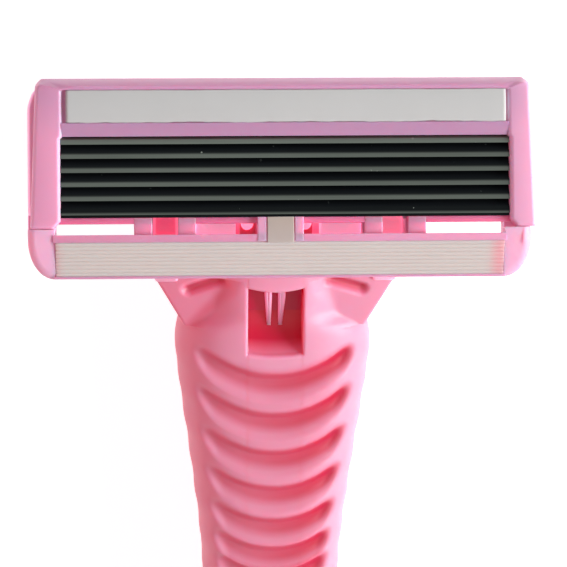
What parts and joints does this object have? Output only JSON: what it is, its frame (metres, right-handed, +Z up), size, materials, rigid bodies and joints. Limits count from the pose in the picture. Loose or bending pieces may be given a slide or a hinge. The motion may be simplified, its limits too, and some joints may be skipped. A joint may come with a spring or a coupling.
{
  "type": "shaving razor",
  "caption": "Hand shaving razor: wide cartridge of stacked blades under a cap frame with a strip, finned guard, sprung swinging head on a winged neck, thumb-grooved handle.",
  "frame": {"origin": "on the table, under the middle of the razor's bounding box, with the razor lying on its back, blades up", "axes": "+X along the blades, +Y from the handle's tail towards the head, +Z up from the table"},
  "size_m": [0.0418, 0.142, 0.0179],
  "materials": {
    "head_pink": "satin translucent moulding",
    "cover_mauve": "satin translucent moulding",
    "strip_white": "waxy",
    "guard_white": "soft matte",
    "blade_steel": "ground and coated",
    "support_steel": "dark, stamped",
    "plunger_pink": "satin",
    "spring_steel": "drawn wire",
    "handle_pink": "satin translucent moulding"
  },
  "bodies": {
    "handle": {"handle_front": "handle_pink", "handle_back": "handle_pink", "plunger_spring": "spring_steel"},
    "head": {"cartridge_housing": "head_pink", "cover_frame": "cover_mauve", "lubricating_strip": "strip_white", "guard_fins": "guard_white", "blade_1": "blade_steel", "blade_2": "blade_steel", "blade_3": "blade_steel", "blade_4": "blade_steel", "blade_5": "blade_steel", "blade_6": "blade_steel", "blade_support_1": "support_steel", "blade_support_2": "support_steel", "blade_support_3": "support_steel", "blade_support_4": "support_steel", "blade_support_5": "support_steel", "blade_support_6": "support_steel"},
    "plunger": {"plunger": "plunger_pink"}
  },
  "joints": [
    {"name": "head_pivot", "type": "hinge", "parent": "handle", "child": "head", "pos_m": [0, 0.05799, 0.012], "axis": [-1, 0, 0], "range_deg": [0, 40], "stiffness_Nm_per_rad": 0.003, "springref_deg": -20.05},
    {"name": "plunger_slide", "type": "slide", "parent": "handle", "child": "plunger", "axis": [0, -1, 0], "range_m": [0, 0.00245], "deforming": ["plunger_spring"]}
  ],
  "couplings": [
    {"joint": "plunger_slide", "follows": "head_pivot", "m_per_rad": 0.003485}
  ]
}
